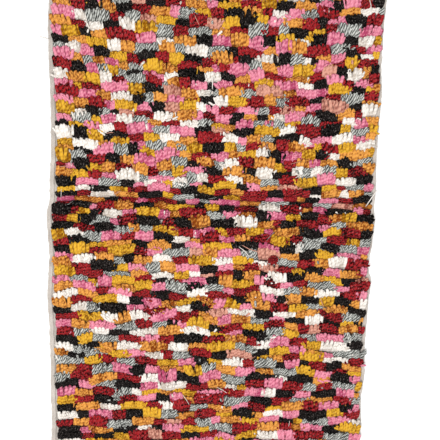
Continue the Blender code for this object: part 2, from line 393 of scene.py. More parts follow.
# Selvedge: the wefts turn round two bundles of warps, so that it is a pair of thick ribbed rolls.
# Its section runs from its inner side over the top, and back: place across, height
SELVEDGE_SECTION = (
    (-1, 0), (-0.8, 0.8), (-0.5, 1), (-0.2, 0.7), (0, 0.1), (0.2, 0.7), (0.5, 1), (0.8, 0.8), (1, 0),
    (0.5, -1), (0, -0.6), (-0.5, -1),
)
SELVEDGE_HALF_WIDE = 0.0060
SELVEDGE_HALF_HIGH = 0.0025
SELVEDGE_INSET = 0.0006
SELVEDGE_STEP = 0.0015
SELVEDGE_CLOSE = 0.004  # its ends narrow to a close over this length
SELVEDGE_RIB = 0.0030
SELVEDGE_RIB_SWELL = 0.06
SELVEDGE_ROLLS_APART = 1.7  # how far one roll's ribs are from the other's, in radians either way
SELVEDGE_RIB_SLANT = 3
SELVEDGE_SWAY = 0.0016
SELVEDGE_SWAY_LENGTH = 0.016
SELVEDGE_LUMP = 0.22  # how much higher or lower its lumps are
SELVEDGE_LUMP_WIDE = 0.12
SELVEDGE_LUMP_LENGTH = 0.007

# Camera: what the picture shows of the rug, and from where
VIEW_SPAN = 1.067  # of the floor, across the middle of the picture
VIEW_HALF = 0.342  # tangent of half the angle of view
VIEW_TILT = radians(7.6)  # from straight down, towards the near end
VIEW_ROLL = radians(1.6)
VIEW_CENTRE = Vector((0.0224, 0.0, 0.010))
FLOOR_REACH = 6.0


# The rug's form. Each waver has a layer of the noise of its own: the last number of its place, or the first
# one for the selvedges


def read_table(table, place, column):
    """A column's value at a place, eased from row to row. Rows run from high places to low ones."""
    if place >= table[0][0]:
        return table[0][column]
    for above, below in zip(table, table[1:]):
        if place >= below[0]:
            part = (above[0] - place) / (above[0] - below[0])
            ease = 0.5 - 0.5 * cos(pi * part)
            return above[column] + (below[column] - above[column]) * ease
    return table[-1][column]


def side_edges(y):
    """The left and the right edge of the rug at this place along it."""
    half = RUG_WIDTH / 2
    return read_table(SIDE_EDGES, y, 1) - half, half - read_table(SIDE_EDGES, y, 2)


def end_draw(across):
    """How far an end edge is drawn in, at a share of the width."""
    return END_WAVE * (0.5 - 0.5 * cos(2 * pi * END_WAVES * (across - 0.5)))


def lift(y):
    """How high the underside stands off the floor."""
    away = abs(y - CREASE_AT)
    if away >= HUMP_END:
        return 0.0
    if away >= HUMP_FROM_CREASE:
        part = (away - HUMP_FROM_CREASE) / (HUMP_END - HUMP_FROM_CREASE)
        return HUMP_HEIGHT * (0.5 + 0.5 * cos(pi * part))
    rounded = hypot(away, CREASE_ROUND) - CREASE_ROUND
    part = rounded / (hypot(HUMP_FROM_CREASE, CREASE_ROUND) - CREASE_ROUND)
    return HUMP_HEIGHT * part * (2 - part)


def slope(y):
    """The angle at which the ground climbs along the rug."""
    return atan((lift(y + SLOPE_REACH) - lift(y - SLOPE_REACH)) / (2 * SLOPE_REACH))


def row_lines():
    """Where each row of knots starts along the rug, and where the last one ends."""
    pile_length = RUG_LENGTH - 2 * END_WEB
    even = pile_length / ROWS
    lines = [-pile_length / 2]
    for _ in range(ROWS):
        near = (lines[-1] - CREASE_AT) / CREASE_SQUEEZE_REACH
        drift = ROW_DRIFT * 2 * lines[-1] / pile_length
        lines.append(lines[-1] + even * (1 + drift - CREASE_SQUEEZE * exp(-near * near)))
    stretch = pile_length / (lines[-1] - lines[0])
    return [(line - lines[0]) * stretch - pile_length / 2 for line in lines]


def bent(y, x, across):
    """Where a straight row's point comes to lie along the rug."""
    sag = read_table(ROW_BENDS, y, 1) * (1 - (2 * across - 1) ** 2)
    rise = read_table(ROW_BENDS, y, 2) * (across - 0.5)
    ends = min(1.0, (RUG_LENGTH / 2 - END_WEB - abs(y)) / ROW_WAVER_LENGTH)
    crease = min(1.0, abs(y - CREASE_AT) / ROW_WAVER_LENGTH)
    waver = noise.noise(Vector((x, y, 0.0)) / ROW_WAVER_LENGTH) * ROW_WAVER * ends * crease
    return y - sag + rise + waver


# Materials


def linear(code):
    """A linear colour from an sRGB hex value."""
    parts = [int(code[i : i + 2], 16) / 255 for i in (0, 2, 4)]
    return [c / 12.92 if c <= 0.04045 else ((c + 0.055) / 1.055) ** 2.4 for c in parts] + [1.0]


def add(tree, kind, inputs=(), output=0, **settings):
    """Adds a shader node with its settings, sets or links its inputs, and returns one of its outputs."""
    made = tree.nodes.new("ShaderNode" + kind)
    for name, value in settings.items():
        setattr(made, name, value)
    for name, value in dict(inputs).items():
        if isinstance(value, bpy.types.NodeSocket):
            tree.links.new(value, made.inputs[name])
        else:
            made.inputs[name].default_value = value
    return made.outputs[output] if made.outputs else None


def new_material(name):
    made = bpy.data.materials.new(name)
    made.use_nodes = True
    made.node_tree.nodes.clear()
    return made, made.node_tree


def finish_wool(tree, colour, height, relief, bloom):
    """The surface of a woollen yarn: dull, with a faint bloom of loose fibres."""
    bump = add(tree, "Bump", {"Height": height, "Strength": 1.0, "Distance": relief})
    dull = {"Base Color": colour, "Normal": bump, "Roughness": 0.95, "Specular IOR Level": 0.05}
    shader = add(tree, "BsdfPrincipled", {**dull, "Sheen Weight": bloom, "Sheen Roughness": 0.5})
    add(tree, "OutputMaterial", {"Surface": shader})


def dyed_wool(name, deep, light, bloom, fuzz, marled):
    """Hand-spun wool, dyed in the yarn and softly twisted. A plain yarn's colour holds painted shade in the
    groove of its twist, on its darkest ends and at its roots, and painted light towards its tips; its locks
    of fibres differ in tone and carry painted highlights and shade. No two ends took the dye alike. A
    marled yarn is spun from a pale and a dark wool, so that it is striped all round. Pale specks on every
    yarn are lint, and painted highlights on the dark ones."""
    made, tree = new_material(name)
    place = add(tree, "UVMap", uv_map="OFBake")
    grid = add(tree, "VectorMath", {0: place, 1: (CELLS, CELLS, 0)}, operation="MULTIPLY")
    cell = add(tree, "VectorMath", {0: grid}, operation="FLOOR")
    inside = add(tree, "VectorMath", {0: grid}, operation="FRACTION")
    chance = add(tree, "TexWhiteNoise", {"Vector": cell}, noise_dimensions="2D")
    round_it, along = (add(tree, "SeparateXYZ", {"Vector": inside}, axis) for axis in "XY")
    rank, level = (add(tree, "SeparateXYZ", {"Vector": cell}, axis) for axis in "XY")

    # The twist, in step with that of the ply beside it: 1 on a strand and -1 in a groove
    turns = END_LENGTH / TWIST_PITCH
    strands = MARLED_STRANDS if marled else PLAIN_STRANDS
    beside = add(tree, "Math", {0: rank, 1: PLY_STEP}, operation="MULTIPLY")
    start = add(tree, "Math", {0: round_it, 1: strands, 2: beside}, operation="MULTIPLY_ADD")
    phase = add(tree, "Math", {0: along, 1: turns, 2: start}, operation="MULTIPLY_ADD")
    angle = add(tree, "Math", {0: phase, 1: tau}, operation="MULTIPLY")
    strand = add(tree, "Math", {0: angle}, operation="SINE")

    stretch = add(tree, "VectorMath", {0: grid, 1: FIBRE_WAVES}, operation="MULTIPLY")
    locks = {"Vector": stretch, "Scale": 1.0, "Detail": 3.0, "Roughness": 0.7}
    fibre = add(tree, "TexNoise", locks, noise_dimensions="2D")
    ridged = add(tree, "Math", {0: strand, 1: TWIST_RELIEF}, operation="MULTIPLY")
    height = add(tree, "Math", {0: fibre, 1: FIBRE_RELIEF, 2: ridged}, operation="MULTIPLY_ADD")

    if marled:
        dark, pale = MARLED_SHADES
        edge = {"From Min": -MARLED_EDGE, "From Max": MARLED_EDGE, "To Min": dark, "To Max": pale}
        stripe = add(tree, "MapRange", {"Value": strand, **edge})
        parts = {0: chance, 1: MARLED_CHANCE, 2: stripe}
        lit = add(tree, "Math", parts, operation="MULTIPLY_ADD", use_clamp=True)
    else:
        # Painted shade: ends in the first row of the map are darker still
        deepest_painted_shade = add(tree, "Math", {0: level, 1: 0.5}, operation="LESS_THAN")
        shade = LOWEST_LEVEL
        for part, lighter in (
            (level, LEVEL_LIGHTER),
            (deepest_painted_shade, DEEPEST_PAINTED_SHADE),
            # painted shade at the root and painted light towards the tip
            (along, TIP_PAINTED_LIGHTER),
            (chance, DYE_CHANCE),
            # painted shade in the groove of the twist
            (strand, TWIST_PAINTED_SHADE * fuzz),
            # locks of fibres: tone that differs at random, with painted highlights and shade
            (fibre, FIBRE_TONE_AND_PAINTED_LIGHT * fuzz),
        ):
            shade = add(tree, "Math", {0: part, 1: lighter, 2: shade}, operation="MULTIPLY_ADD")
        # The fibres' noise is a half on average, which has to change nothing
        lit = add(tree, "Math", {0: shade, 1: FIBRE_TONE_AND_PAINTED_LIGHT / 2 * fuzz}, operation="SUBTRACT", use_clamp=True)
    tones = {"Factor": lit, "A": linear(deep), "B": linear(light)}
    colour = add(tree, "Mix", tones, output="Result", data_type="RGBA")

    # Pale specks: lint, and painted highlights on the dark yarns
    crumbs = add(tree, "VectorMath", {0: grid, 1: LINT_AND_HIGHLIGHT_WAVES}, operation="MULTIPLY")
    specks = {"Vector": crumbs, "Scale": 1.0, "Detail": 1.0, "Roughness": 0.5}
    speck = add(tree, "TexNoise", specks, noise_dimensions="2D")
    least, most = LINT_AND_HIGHLIGHT_EDGE
    hidden = {"Value": speck, "From Min": least, "From Max": most, "To Max": LINT_AND_HIGHLIGHT * fuzz}
    lint_and_highlight = add(tree, "MapRange", hidden)
    tones = {"Factor": lint_and_highlight, "A": colour, "B": linear(LINT_AND_HIGHLIGHT_COLOUR)}
    linted_and_highlit = add(tree, "Mix", tones, output="Result", data_type="RGBA")
    finish_wool(tree, linted_and_highlit, height, WOOL_RELIEF, bloom)
    return made


def undyed_wool(name, deep, light):
    """Undyed wool, woven so tightly that the wefts hide the warps: ribs across, broken by each warp's
    dimple, uneven in colour from thread to thread and from patch to patch."""
    made, tree = new_material(name)
    place = add(tree, "TexCoord", output="Object")
    counts = (1 / WARP_APART, 1 / WEFT_APART, 0)
    threads = add(tree, "VectorMath", {0: place, 1: counts}, operation="MULTIPLY")
    fibre = add(tree, "TexNoise", {"Vector": threads, "Scale": 1.6, "Detail": 3.0, "Roughness": 0.6})
    patch = add(tree, "TexNoise", {"Vector": place, "Scale": PATCH_WAVES, "Detail": 2.0})
    across, along = (add(tree, "SeparateXYZ", {"Vector": threads}, axis) for axis in "XY")
    warp = add(tree, "Math", {0: across, 1: pi}, operation="MULTIPLY")
    weft = add(tree, "Math", {0: along, 1: pi}, operation="MULTIPLY")
    over = add(tree, "Math", {0: warp}, operation="COSINE")
    under = add(tree, "Math", {0: weft}, operation="COSINE")
    weave = add(tree, "Math", {0: over, 1: under}, operation="MULTIPLY")
    height = add(tree, "Math", {0: weave, 1: WEAVE_RELIEF, 2: fibre}, operation="MULTIPLY_ADD")
    shade = add(tree, "Math", {0: patch, 1: PATCH_SHADE, 2: fibre}, operation="MULTIPLY_ADD")
    darkest, lightest = GROUND_SHADES
    lit = add(tree, "MapRange", {"Value": shade, "From Min": darkest, "From Max": lightest})
    tones = {"Factor": lit, "A": linear(deep), "B": linear(light)}
    colour = add(tree, "Mix", tones, output="Result", data_type="RGBA")
    finish_wool(tree, colour, height, GROUND_RELIEF, GROUND_BLOOM)
    return made


def matt_paper(name, code):
    """Matt paper board, rolled smooth: no gloss and no grain to see."""
    made, tree = new_material(name)
    matt = {"Base Color": linear(code), "Roughness": 0.9, "Specular IOR Level": 0.1}
    shader = add(tree, "BsdfPrincipled", matt)
    add(tree, "OutputMaterial", {"Surface": shader})
    return made


# Meshes


def make_piece(name, points, corners, sizes, material, places=None):
    """One object from arrays: the points, the faces' corners in a row, how many each face has, and the
    corners' places on the map."""
    mesh = bpy.data.meshes.new(name)
    mesh.vertices.add(len(points))
    mesh.vertices.foreach_set("co", np.asarray(points, np.float32).ravel())
    mesh.loops.add(len(corners))
    mesh.loops.foreach_set("vertex_index", np.asarray(corners, np.int32))
    mesh.polygons.add(len(sizes))
    starts = np.concatenate([[0], np.cumsum(sizes)[:-1]])
    mesh.polygons.foreach_set("loop_start", starts.astype(np.int32))
    mesh.update(calc_edges=True)
    if places is not None:
        layer = mesh.uv_layers.new(name="OFBake")
        layer.data.foreach_set("uv", np.asarray(places, np.float32).ravel())
    mesh.shade_smooth()
    mesh.materials.append(material)
    made = bpy.data.objects.new(name, mesh)
    bpy.context.scene.collection.objects.link(made)
    return made


def dress(piece, node):
    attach(piece, "root")
    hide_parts(node)
    return piece


# How the pile lies


def within(value, least=0.0, most=1.0):
    """The value, or the nearest one that is from the least to the most."""
    return min(most, max(least, value))


def hump(away):
    """From 1 at the middle of a thing to 0 well away from it, in measures of its reach."""
    return exp(-(away**2))


def nearness(y):
    """How near a place along the rug is: 0 in its far part and 1 in its near one."""
    return within(0.5 - y / NEARNESS_LENGTH)


def beyond(x, y, start, over):
    """How far a place lies into the far left part, from 0 at its start to 1."""
    return within((start[0] - x) / over[0]), within((y - start[1]) / over[1])


def swept(x, y):
    """The heading of the pile at a place, from straight along the rug, clockwise from above."""
    left, far = beyond(x, y, SWEPT_FROM, SWEPT_OVER)
    waver = SWEEP_WAVER * noise.noise(Vector((x, y, 3.0)) / SWEEP_WAVER_LENGTH)
    return SWEPT_LEFT * left * far + waver


def combed(x, y):
    """How smooth the pile lies at a place: 1 in the far left part, and 0 where feet have rubbed it."""
    left, far = beyond(x, y, COMBED_FROM, COMBED_OVER)
    return left * far


def trodden(x, y):
    """How near the middle of the trodden patch a place is: 1 there."""
    across = (x - TRODDEN_AT[0]) / TRODDEN_REACH[0]
    along = (y - TRODDEN_AT[1]) / TRODDEN_REACH[1]
    return exp(-(across**2) - along**2)


def folded(y):
    """How much the fold has turned the pile at a place: 1 just before the crease."""
    return hump((y - FOLD_AT) / FOLD_REACH)


def in_crease(y):
    """How near the bottom of the crease a place is: 1 there."""
    return hump((y - CREASE_AT) / CREASE_REACH)


def by_tuft(x, y, reach):
    return hypot(x - TUFT_AT[0], y - TUFT_AT[1]) < reach


def pushed(x, y):
    """How far use has pushed the pile at a place along the rug."""
    ends = min(1.0, (RUG_LENGTH / 2 - END_WEB - abs(y)) / (2 * PUSH_LENGTH))
    crease = min(1.0, PUSH_IN_CREASE + abs(y - CREASE_AT) / (3 * PUSH_LENGTH))
    smooth = 1 - PUSH_LESS_COMBED * combed(x, y)
    return PUSH * ends * crease * smooth * noise.noise(Vector((x, y, 9.0)) / PUSH_LENGTH)


def first_knot(side, y):
    """How far from its edge of the rug a row's first or last knot is."""
    waver = noise.noise(Vector((side == "left", y / FIRST_KNOT_WAVER_LENGTH, 7.0)))
    return FIRST_KNOT[side] + FIRST_KNOT_WAVER * waver


# Pile: a ply is an End. Its slope is the ground's, and its column and level are its cell of the map

End = collections.namedtuple("End", "x y z slope heading curl length rise droop girth column level")
Back = collections.namedtuple("Back", "x y z column level")
Run = collections.namedtuple("Run", "start stop rough turn taper curl length droop shift level")
Knot = collections.namedtuple("Knot", "x y line heading length level bulge thick_heading thick_length")


def pick_level(rng, level):
    """The row of the map for an end: one of those near its knot's."""
    return within(round(level + rng.gauss(0, END_LEVEL)), 0, CELLS - 1)


def choose_yarns(rng, count, before, near, dark):
    """The yarn of each knot of a row: runs of a few knots, seldom like the run beside or before them."""
    names = list(YARNS)
    shares = [YARNS[name][-1] * (1 + DARK_SHARE * dark * (name in DARK_YARNS)) for name in names]
    runs = [at_far + (at_near - at_far) * near for at_far, at_near in RUN_SHARES.values()]
    chosen = []
    while len(chosen) < count:
        run = rng.choices(list(RUN_SHARES), runs)[0]
        below = before[len(chosen) : len(chosen) + run]
        weights = [share * (SAME_AS_BELOW if name in below else 1) for name, share in zip(names, shares)]
        if chosen:
            for at, name in enumerate(names):
                if ALIKE.get(name, name) == ALIKE.get(chosen[-1], chosen[-1]):
                    weights[at] *= ALIKE_BESIDE
            weights[names.index(chosen[-1])] = 0.0
        chosen += [rng.choices(names, weights)[0]] * run
    return chosen[:count]


def start_run(rng, yarns, at, x, y):
    """How the run of one yarn lies that starts at this knot of a row."""
    far, fold, crease = 1 - nearness(y), folded(y), in_crease(y)
    rough = rng.gauss(*RUN_ROUGH) - ROUGH_LESS_COMBED * combed(x, y) + TRODDEN_ROUGH * trodden(x, y)
    rough = within(rough, 0.0, ROUGHEST)
    turn = rng.gauss(0, RUN_TURN["combed"] + (RUN_TURN["rubbed"] - RUN_TURN["combed"]) * rough)
    turn += fold * rng.choice((-1, 1)) * rng.uniform(*FOLD_TURN)
    turn += crease * rng.choice((-1, 1)) * rng.uniform(*CREASE_TURN)
    knots = sum(1 for _ in itertools.takewhile(lambda name: name == yarns[at], yarns[at:]))
    taper = rng.uniform(*RUN_TAPER)
    curl = rng.gauss(0, RUN_CURL + RUN_CURL_ROUGH * rough)
    length = rng.uniform(*RUN_LENGTH) + FAR_LENGTH * far * rng.uniform(*FAR_LENGTH_SPREAD)
    droop = rng.gauss(0, RUN_DROOP) - LONG_RUN_DROOP * max(0.0, length - LONG_RUN)
    shift = rng.gauss(0, RUN_SHIFT + FAR_SHIFT * far)
    # Painted shade: the fold and the crease lower the run's level, so its ends are darker there
    level = rng.uniform(*RUN_LEVEL) - FOLD_PAINTED_SHADE * fold - CREASE_PAINTED_SHADE * crease
    return Run(at, at + knots, rough, turn, taper, curl, length, droop, shift, level)


def lay_knot(rng, run, at, x, line, apart, right):
    """How a knot of a run lies, where the next row is so far apart, to the usual."""
    y = line + run.shift + rng.gauss(0, ROOT_SPREAD)
    outer = (2 * (at + 0.5 - run.start) / (run.stop - run.start) - 1) ** 2
    rim = max(0.0, 1 - (right - x) / RIM)
    turn = run.turn * (1 - RIM_STEADIER * rim)
    heading = swept(x, y) + turn + rng.gauss(0, KNOT_HEADING) + RIM_TURN * rim
    reach = within(apart, *END_REACH)
    room = TUFT_PRESSES if by_tuft(x, line + END_LENGTH / 2, TUFT_ROOM) else 1.0
    length = END_LENGTH * run.length * reach * room * (1 - run.taper * outer)
    pressed = 1 - CREASE_SHORTER * in_crease(line + CREASE_AHEAD)
    length *= rng.uniform(*KNOT_UNEVEN) * pressed
    level = run.level + rng.gauss(0, KNOT_LEVEL)
    bulge = PILLOW * (PILLOW_MIDDLE - outer)

    thick_heading = swept(x, y) + THICK_TURN * turn + RIM_TURN * rim
    follows = 1 - THICK_FOLLOWS + THICK_FOLLOWS * run.length
    thick_length = THICK_LENGTH * within(apart, *THICK_REACH) * follows
    taper = THICK_TAPER * run.taper / RUN_TAPER[1] * outer
    thick_length += THICK_OVER + THICK_BACK + run.shift - taper
    thick_length *= pressed / max(LEAST_AHEAD, cos(thick_heading))
    return Knot(x, y, line, heading, length, level, bulge, thick_heading, thick_length)


def thick_plies(rng, knot):
    y = knot.line - THICK_BACK
    return [
        End(
            x=knot.x + side * THICK_APART,
            y=y + rng.gauss(0, ROOT_SPREAD),
            z=lift(y) + GROUND_THICK,
            slope=slope(y),
            heading=knot.thick_heading + side * THICK_SPLAY + rng.gauss(0, THICK_HEADING),
            curl=rng.gauss(0, THICK_CURL),
            length=knot.thick_length * rng.uniform(*THICK_UNEVEN),
            rise=THICK_RISE,
            droop=THICK_DROOP + knot.bulge,
            girth=THICK_RADIUS * rng.uniform(*THICK_GIRTHS),
            column=rng.randrange(CELLS),
            level=pick_level(rng, knot.level),
        )
        for side in (-1, 1)
    ]


def fine_plies(rng, knot, run, at, yarn):
    """A knot's fine plies, each with the yarn that it is of."""
    plies = list(enumerate(PLIES))
    if rng.random() < FEWER_PLIES:
        plies.remove(rng.choice(plies))
    gather = GATHER * rng.uniform(*GATHER_UNEVEN) * max(0.0, 1 - GATHER_LESS_ROUGH * run.rough)
    stand = TRODDEN_STAND * trodden(knot.x, knot.line) * rng.uniform(*TRODDEN_UNEVEN)
    made = []
    for place, ply in plies:
        beside = ply * RIDGE_HALF
        shorter = 1 - ROUGH_SHORTER * run.rough
        crown = CROWN * (PLY_AWAY - abs(ply))
        caught = rng.choice(CAUGHT_YARNS) if rng.random() < CAUGHT_PLY else yarn
        end = End(
            x=knot.x + beside,
            y=knot.y + rng.gauss(0, PLY_ROOT_SPREAD),
            z=lift(knot.y) + GROUND_THICK,
            slope=slope(knot.y),
            heading=knot.heading - beside * gather + rng.gauss(0, PLY_HEADING + ROUGH_TURN * run.rough),
            curl=run.curl + rng.gauss(0, PLY_CURL + ROUGH_CURL * run.rough),
            length=min(LONGEST_END, knot.length * rng.uniform(*END_UNEVEN) * shorter),
            rise=RISE + rng.gauss(0, PLY_RISE),
            droop=DROOP + run.droop + crown + rng.gauss(0, PLY_DROOP) + knot.bulge
            + ROUGH_STAND * run.rough * rng.random() + stand,
            girth=PLY_RADIUS * rng.uniform(*PLY_GIRTHS),
            column=(KNOT_STEPS * at + place) % CELLS,
            level=pick_level(rng, knot.level),
        )
        made.append((caught, end))
    return made


def tie_knots(rng):
    """Every end and every knot back, by yarn."""
    ends = {name: [] for name in YARNS}
    backs = {name: [] for name in YARNS}
    lines = row_lines()
    even = (lines[-1] - lines[0]) / ROWS
    before = []
    for here, following in zip(lines, lines[1:]):
        left, right = side_edges(here)
        start = left + first_knot("left", here)
        wide = right - first_knot("right", here) - start
        count = round(wide / KNOT_PITCH)
        dark = max(folded(here), in_crease(here))
        yarns = choose_yarns(rng, count, before, nearness(here), dark)
        for at, name in enumerate(yarns):
            if name == TUFT_YARN and by_tuft(start + wide * at / count, here, TUFT_CLEAR):
                yarns[at] = TUFT_BESIDE
        before = yarns
        x = start
        for at, yarn in enumerate(yarns):
            if at == 0 or yarn != yarns[at - 1]:
                run = start_run(rng, yarns, at, x, here)
            across = (at + 0.5 + rng.uniform(-KNOT_SWAY, KNOT_SWAY)) / count
            x = start + wide * across
            line = bent(here, x, across) + pushed(x, here)
            after = bent(following, x, across) + pushed(x, following)
            knot = lay_knot(rng, run, at, x, line, (after - line) / even, right)
            ends[yarn] += thick_plies(rng, knot)
            for caught, end in fine_plies(rng, knot, run, at, yarn):
                ends[caught].append(end)
            back = Back(x, knot.y, lift(knot.y), rng.randrange(CELLS), pick_level(rng, run.level))
            backs[yarn].append(back)
    return ends, backs


def lay_loose(x, y, heading, curl, length, radius, rise):
    """A loose end that lies on the pile."""
    z = lift(y) + LOOSE_HEIGHT
    return End(x, y, z, slope(y), heading, curl, length, rise, LOOSE_DROOP, radius, *LOOSE_CELL)


def add_loose(ends, rng):
    """The loose ends and strands, and the knot that has opened like a brush."""
    for yarn, *end in LOOSE_ENDS:
        ends[yarn].append(lay_loose(*end, LOOSE_RISE))
    for _ in range(STRANDS):
        x = rng.uniform(-STRAND_ACROSS, STRAND_ACROSS)
        y = rng.uniform(-STRAND_ALONG, STRAND_ALONG)
        yarn = rng.choice(STRAND_YARNS)
        heading = rng.uniform(-STRAND_HEADING, STRAND_HEADING)
        curl = rng.gauss(0, STRAND_CURL)
        length = rng.uniform(*STRAND_LENGTH)
        radius = rng.uniform(*STRAND_RADIUS)
        ends[yarn].append(lay_loose(x, y, heading, curl, length, radius, STRAND_RISE))
    x, y = TUFT_AT
    for at in range(TUFT_ENDS):
        around = tau * at * TUFT_AROUND + rng.gauss(0, TUFT_AROUND_SPREAD)
        out = sqrt((at + 0.5) / TUFT_ENDS)
        end = End(
            x=x + TUFT_ROOT * out * sin(around),
            y=y + TUFT_ROOT * out * cos(around),
            z=lift(y) + TUFT_HEIGHT,
            slope=slope(y),
            heading=around,
            curl=rng.gauss(0, TUFT_CURL),
            length=TUFT_LENGTH * rng.uniform(*TUFT_UNEVEN),
            rise=radians(TUFT_RISES[0] - TUFT_RISES[1] * out),
            droop=radians(TUFT_DROOPS[0] - TUFT_DROOPS[1] * out),
            girth=PLY_RADIUS,
            column=rng.randrange(CELLS),
            level=pick_level(rng, TUFT_LEVEL),
        )
        ends[TUFT_YARN].append(end)


def end_points(ends):
    """Each end's rings and tip, root first: an array of ends, points and coordinates."""
    end = End(*np.array(ends).T[:, :, None])
    middles = (np.arange(STEPS) + 0.5) / STEPS
    rises = end.rise + (end.droop - end.rise) * middles
    headings = end.heading + end.curl * (middles - CURL_ABOUT)
    step = end.length / STEPS
    ahead = [np.sin(headings) * np.cos(rises), np.cos(headings) * np.cos(rises), np.sin(rises)]
    moves = np.stack(ahead, axis=2) * step[:, :, None]
    line = np.concatenate([np.zeros((len(ends), 1, 3)), np.cumsum(moves, axis=1)], axis=1)
    rings = []
    for ring_step, girth in zip(RING_STEPS, RING_GIRTHS):
        part = ring_step / STEPS
        rise = (end.rise + (end.droop - end.rise) * part)[:, 0]
        heading = (end.heading + end.curl * (part - CURL_ABOUT))[:, 0]
        flat = np.zeros(len(ends))
        side = np.stack([np.cos(heading), -np.sin(heading), flat], axis=1)
        up = [-np.sin(heading) * np.sin(rise), -np.cos(heading) * np.sin(rise), np.cos(rise)]
        up = np.stack(up, axis=1)
        for corner in range(SIDES):
            angle = tau * corner / SIDES - pi / 2
            radius = end.girth * girth
            out = cos(angle) * side + sin(angle) * FLATNESS * up
            rings.append(line[:, ring_step] + radius * out)
    points = np.stack(rings + [line[:, STEPS]], axis=1)
    # Lean the whole end with the ground that it stands on
    turn, y, z = end.slope, points[:, :, 1].copy(), points[:, :, 2].copy()
    points[:, :, 1] = y * np.cos(turn) - z * np.sin(turn)
    points[:, :, 2] = y * np.sin(turn) + z * np.cos(turn)
    return points + np.stack([end.x, end.y, end.z], axis=2)


def end_faces():
    """One end's faces: corners, how many each face has, and the corners' places in a cell."""
    corners, sizes, places = [], [], []
    tip = SIDES * len(RING_STEPS)
    rings = range(len(RING_STEPS))
    for ring in rings:
        low = RING_STEPS[ring] / STEPS
        for k in range(SIDES):
            here, beside = ring * SIDES + k, ring * SIDES + (k + 1) % SIDES
            u, u_beside = k / SIDES, (k + 1) / SIDES
            if ring == rings[-1]:
                corners += [here, tip, beside]
                places += [(u, low), ((u + u_beside) / 2, 1.0), (u_beside, low)]
                sizes.append(3)
            else:
                high = RING_STEPS[ring + 1] / STEPS
                corners += [here, here + SIDES, beside + SIDES, beside]
                places += [(u, low), (u, high), (u_beside, high), (u_beside, low)]
                sizes.append(4)
    corners += list(range(SIDES))
    places += [(0.5 + 0.5 * cos(tau * k / SIDES), 0.0) for k in range(SIDES)]
    sizes.append(SIDES)
    return np.array(corners), np.array(sizes), np.array(places)


def back_points(backs):
    """Each knot back: a low dome under the ground, its rim inside the cloth."""
    back = Back(*np.array(backs).T)
    points = []
    for k in range(BACK_SIDES):
        angle = tau * k / BACK_SIDES
        x, y = back.x + BACK_WIDE * cos(angle), back.y + BACK_LONG * sin(angle)
        points.append(np.stack([x, y, back.z + BACK_HEIGHT], axis=1))
    points.append(np.stack([back.x, back.y, back.z + BACK_CLEAR], axis=1))
    return np.stack(points, axis=1)


def back_faces():
    """A knot back's faces, as end_faces gives an end's."""
    rim, middle = BACK_MAP
    corners, sizes, places = [], [], []
    for k in range(BACK_SIDES):
        corners += [(k + 1) % BACK_SIDES, k, BACK_SIDES]
        places += [((k + 1) / BACK_SIDES, rim), (k / BACK_SIDES, rim), ((k + 0.5) / BACK_SIDES, middle)]
        sizes.append(3)
    corners += list(range(BACK_SIDES))
    places += [(0.5 + 0.5 * cos(tau * k / BACK_SIDES), rim) for k in range(BACK_SIDES)]
    sizes.append(BACK_SIDES)
    return np.array(corners), np.array(sizes), np.array(places)


def repeated(points, faces, columns, levels):
    """The arrays of a mesh that has the same faces again for each set of points, each in its own cell."""
    corners, sizes, places = faces
    count, each = points.shape[:2]
    all_corners = (np.arange(count)[:, None] * each + corners).ravel()
    cells = np.stack([columns, levels], axis=1)[:, None, :]
    inner = CELL_MARGIN + (1 - 2 * CELL_MARGIN) * places[None]
    all_places = ((cells + inner) / CELLS).reshape(-1, 2)
    return points.reshape(-1, 3), all_corners, np.tile(sizes, count), all_places


def make_pile():
    rng = random.Random(SEED)
    ends, backs = tie_knots(rng)
    add_loose(ends, rng)
    made = []
    for yarn, (deep, light, bloom, fuzz, _) in YARNS.items():
        end, back = End(*np.array(ends[yarn]).T), Back(*np.array(backs[yarn]).T)
        upper = repeated(end_points(ends[yarn]), end_faces(), end.column, end.level)
        lower = repeated(back_points(backs[yarn]), back_faces(), back.column, back.level)
        points = np.concatenate([upper[0], lower[0]])
        corners = np.concatenate([upper[1], lower[1] + len(upper[0])])
        sizes = np.concatenate([upper[2], lower[2]])
        places = np.concatenate([upper[3], lower[3]])
        words = yarn.replace("_", " ")
        wool = dyed_wool(f"hand-spun wool, {words}", deep, light, bloom, fuzz, yarn.startswith("marled"))
        piece = make_piece(f"pile_{yarn}", points, corners, sizes, wool, places)
        made.append(dress(piece, "pile"))
    return made


# Ground weave


def grid_faces(columns, rows, offset, flip):
    """The quads of a grid of points, with columns running fastest."""
    across, along = np.meshgrid(np.arange(columns - 1), np.arange(rows - 1))
    first = (along * columns + across).ravel() + offset
    quads = np.stack([first, first + 1, first + 1 + columns, first + columns], axis=1)
    return quads[:, ::-1] if flip else quads


def rim_faces(columns, rows):
    """The quads that join two such grids round their rim, the upper one stored first."""
    grid = np.arange(rows * columns).reshape(rows, columns)
    ring = np.concatenate([grid[0], grid[1:, -1], grid[-1, -2::-1], grid[-2:0:-1, 0]])
    after = np.roll(ring, -1)
    under = columns * rows
    return np.stack([ring + under, after + under, after, ring], axis=1)


def closed_cloth(name, upper, lower, material):
    """A closed piece of cloth from two grids of points of the same size, rows by columns."""
    rows, columns = upper.shape[:2]
    top, underside = grid_faces(columns, rows, 0, False), grid_faces(columns, rows, rows * columns, True)
    quads = np.concatenate([top, underside, rim_faces(columns, rows)])
    points = np.concatenate([upper.reshape(-1, 3), lower.reshape(-1, 3)])
    return make_piece(name, points, quads.ravel(), np.full(len(quads), 4), material)


